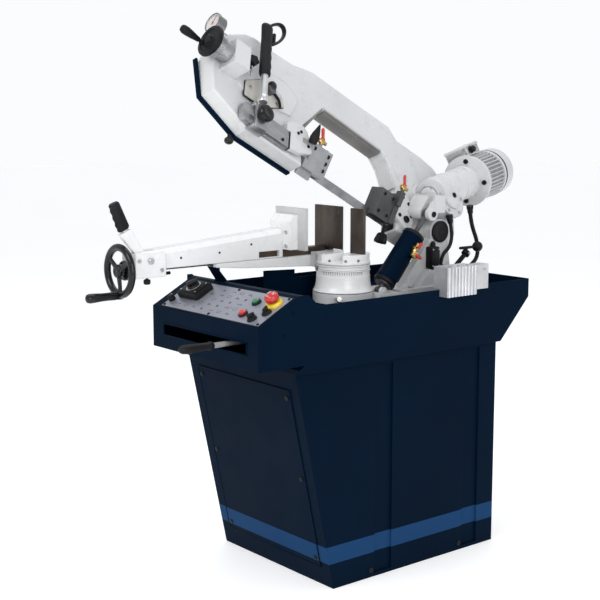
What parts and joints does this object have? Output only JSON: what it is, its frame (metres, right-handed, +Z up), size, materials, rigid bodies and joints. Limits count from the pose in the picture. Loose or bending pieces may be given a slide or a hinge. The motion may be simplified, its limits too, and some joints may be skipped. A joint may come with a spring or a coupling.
{
  "type": "mitring band saw",
  "caption": "Metal-cutting band saw on a cabinet stand, with a leaning bow that swings down and turns for mitres, a screw vice, coolant tray and sloped control panel.",
  "frame": {"origin": "on the floor, under the swivel axis of the saw head", "axes": "+Z up, -Y towards the operator, +X to the operator's right"},
  "size_m": [0.6286, 1.7134, 1.7046],
  "materials": {
    "navy_paint": "satin",
    "white_paint": "satin",
    "grey_paint": "satin",
    "panel_film": "satin",
    "black_plastic": "matt",
    "yellow_plastic": "satin",
    "red_plastic": "gloss",
    "green_plastic": "gloss",
    "ground_steel": "brushed",
    "dark_steel": "worn",
    "bright_steel": "satin",
    "aluminium": "satin",
    "cast_iron": "machined",
    "chrome": "polished",
    "brass": "satin",
    "black_rubber": "matt"
  },
  "bodies": {
    "stand": {"stand_cabinet": "navy_paint", "front_service_panel": "navy_paint", "chip_tray": "navy_paint", "control_box": "navy_paint", "control_plate": "panel_film", "button_collars": "black_plastic", "estop_collar": "yellow_plastic", "coolant_tank": "grey_paint", "base_column": "white_paint", "vice_bed": "white_paint", "slide_rail": "ground_steel", "fixed_jaws": "dark_steel", "rest_block": "aluminium"},
    "stop_button": {"stop_button": "red_plastic"},
    "start_button": {"start_button": "green_plastic"},
    "estop_button": {"estop_button": "red_plastic"},
    "selector_a": {"selector_knob_a": "black_plastic"},
    "selector_b": {"selector_knob_b": "black_plastic"},
    "speed_switch": {"switch_knob": "black_plastic"},
    "dial_knob": {"small_knob": "black_plastic"},
    "moving_vice": {"moving_jaw": "white_paint", "moving_jaw_plate": "bright_steel"},
    "quick_clamp": {"quick_clamp_lever": "white_paint", "quick_clamp_grip": "black_plastic"},
    "screw": {"vice_screw": "ground_steel", "vice_handwheel": "black_plastic"},
    "crank_handle": {"handwheel_handle": "black_plastic"},
    "swivel_lock": {"swivel_lock_lever": "grey_paint"},
    "swivel_column": {"swivel_arm": "white_paint", "pivot_shaft": "ground_steel", "limit_switch": "navy_paint", "stop_rod": "ground_steel", "head_cables": "black_rubber"},
    "cylinder": {"cylinder_barrel": "ground_steel", "cylinder_cover": "navy_paint"},
    "cylinder_rod": {"cylinder_rod": "ground_steel"},
    "flow_knob": {"downfeed_knob": "brass"},
    "saw_head": {"bow_frame": "white_paint", "wheel_cover": "white_paint", "cover_edge_strip": "black_plastic", "band_blade": "ground_steel", "gearbox": "white_paint", "motor_body": "white_paint", "fan_cover": "white_paint", "tension_housing": "bright_steel", "tension_gauge": "chrome", "guide_clamp": "white_paint", "rear_guide": "grey_paint", "handle_tube": "bright_steel", "handle_grip": "black_plastic"},
    "front_wheel": {"front_wheel": "cast_iron"},
    "rear_wheel": {"rear_wheel": "cast_iron"},
    "tension_wheel": {"tension_handwheel": "black_plastic"},
    "guide_carrier": {"guide_bar": "bright_steel", "front_guide": "grey_paint"},
    "bar_knob": {"bar_knob": "black_plastic"},
    "guide_knob": {"guide_knob": "black_plastic"},
    "trigger": {"trigger": "black_plastic"},
    "front_tap": {"front_tap_lever": "brass"},
    "rear_tap": {"rear_tap_lever": "brass"}
  },
  "joints": [
    {"name": "stop_press", "type": "slide", "parent": "stand", "child": "stop_button", "axis": [0, 0.4695, -0.8829], "range_m": [0, 0.004], "stiffness_N_per_m": 800},
    {"name": "start_press", "type": "slide", "parent": "stand", "child": "start_button", "axis": [0, 0.4695, -0.8829], "range_m": [0, 0.004], "stiffness_N_per_m": 800},
    {"name": "estop_press", "type": "slide", "parent": "stand", "child": "estop_button", "axis": [0, 0.4695, -0.8829], "range_m": [0, 0.004]},
    {"name": "selector_a_turn", "type": "hinge", "parent": "stand", "child": "selector_a", "pos_m": [0.232, -0.53986, 0.8485], "axis": [0, -0.4695, 0.8829], "range_deg": [-45, 45]},
    {"name": "selector_b_turn", "type": "hinge", "parent": "stand", "child": "selector_b", "pos_m": [0.258, -0.50807, 0.8654], "axis": [0, -0.4695, 0.8829], "range_deg": [-45, 45]},
    {"name": "speed_switch_turn", "type": "hinge", "parent": "stand", "child": "speed_switch", "pos_m": [-0.12, -0.49685, 0.89968], "axis": [0, 0.4695, -0.8829], "range_deg": [0, 90]},
    {"name": "dial_turn", "type": "hinge", "parent": "stand", "child": "dial_knob", "pos_m": [-0.184, -0.53338, 0.85761], "axis": [0, -0.4695, 0.8829], "range_deg": [-150, 150]},
    {"name": "vice_slide", "type": "slide", "parent": "stand", "child": "moving_vice", "axis": [0, 1, 0], "range_m": [-0.058, 0.13]},
    {"name": "quick_clamp_turn", "type": "hinge", "parent": "moving_vice", "child": "quick_clamp", "pos_m": [-0.119, -0.672, 0.99], "axis": [1, 0, 0], "range_deg": [-50, 0]},
    {"name": "screw_turn", "type": "hinge", "parent": "moving_vice", "child": "screw", "pos_m": [-0.119, -0.752, 0.963], "axis": [0, 1, 0], "range_deg": [-2400, 5200]},
    {"name": "crank_spin", "type": "hinge", "parent": "screw", "child": "crank_handle", "pos_m": [-0.119, -0.8, 0.892], "axis": [0, 1, 0], "continuous": true},
    {"name": "lock_swing", "type": "hinge", "parent": "stand", "child": "swivel_lock", "pos_m": [0.13, -0.06, 0.763], "axis": [0, 0, -1], "range_deg": [0, 18]},
    {"name": "swivel_turn", "type": "hinge", "parent": "stand", "child": "swivel_column", "pos_m": [0, 0, 0.834], "axis": [0, 0, 1], "range_deg": [0, 45]},
    {"name": "head_tilt", "type": "hinge", "parent": "swivel_column", "child": "saw_head", "pos_m": [0.03, 0.358, 1.023], "axis": [1, 0, 0], "range_deg": [0, 29]},
    {"name": "cylinder_swing", "type": "hinge", "parent": "swivel_column", "child": "cylinder", "pos_m": [0.08, 0.083, 0.852], "axis": [1, 0, 0], "range_deg": [-3, 3]},
    {"name": "rod_stroke", "type": "slide", "parent": "cylinder", "child": "cylinder_rod", "axis": [0, 0.6687, 0.7435], "range_m": [-0.05, 0.002]},
    {"name": "flow_knob_turn", "type": "hinge", "parent": "cylinder", "child": "flow_knob", "pos_m": [0.134, 0.1833, 0.96353], "axis": [1, 0, 0], "range_deg": [0, 270]},
    {"name": "front_wheel_spin", "type": "hinge", "parent": "saw_head", "child": "front_wheel", "pos_m": [-0.06583, -0.28531, 1.461], "axis": [0.891, 0.2201, 0.3971], "continuous": true},
    {"name": "rear_wheel_spin", "type": "hinge", "parent": "saw_head", "child": "rear_wheel", "pos_m": [-0.06583, 0.40082, 1.08066], "axis": [0.891, 0.2201, 0.3971], "continuous": true},
    {"name": "tension_turn", "type": "hinge", "parent": "saw_head", "child": "tension_wheel", "pos_m": [-0.01467, -0.49606, 1.61916], "axis": [0, -0.8746, 0.4848], "range_deg": [-180, 180]},
    {"name": "guide_slide", "type": "slide", "parent": "saw_head", "child": "guide_carrier", "axis": [0, 0.8746, -0.4848], "range_m": [0, 0.055]},
    {"name": "bar_knob_turn", "type": "hinge", "parent": "saw_head", "child": "bar_knob", "pos_m": [0.06849, -0.36102, 1.41311], "axis": [0.891, 0.2201, 0.3971], "range_deg": [0, 90]},
    {"name": "guide_knob_turn", "type": "hinge", "parent": "saw_head", "child": "guide_knob", "pos_m": [0.012, 0.16053, 1.03184], "axis": [0, -0.344, -0.939], "range_deg": [0, 90]},
    {"name": "trigger_pull", "type": "slide", "parent": "saw_head", "child": "trigger", "axis": [0, -0.8746, 0.4848], "range_m": [0, 0.004], "stiffness_N_per_m": 600},
    {"name": "front_tap_turn", "type": "hinge", "parent": "guide_carrier", "child": "front_tap", "pos_m": [0.018, -0.10103, 1.33347], "axis": [0, 0.4848, 0.8746], "range_deg": [0, 90]},
    {"name": "rear_tap_turn", "type": "hinge", "parent": "saw_head", "child": "rear_tap", "pos_m": [0.032, 0.23615, 1.17858], "axis": [0, 0.4848, 0.8746], "range_deg": [0, 90]}
  ],
  "couplings": [
    {"joint": "screw_turn", "follows": "vice_slide", "rad_per_m": 628.32},
    {"joint": "cylinder_swing", "follows": "head_tilt", "ratio": -0.072},
    {"joint": "rod_stroke", "follows": "head_tilt", "m_per_rad": -0.086714},
    {"joint": "rear_wheel_spin", "follows": "front_wheel_spin", "ratio": 1}
  ]
}
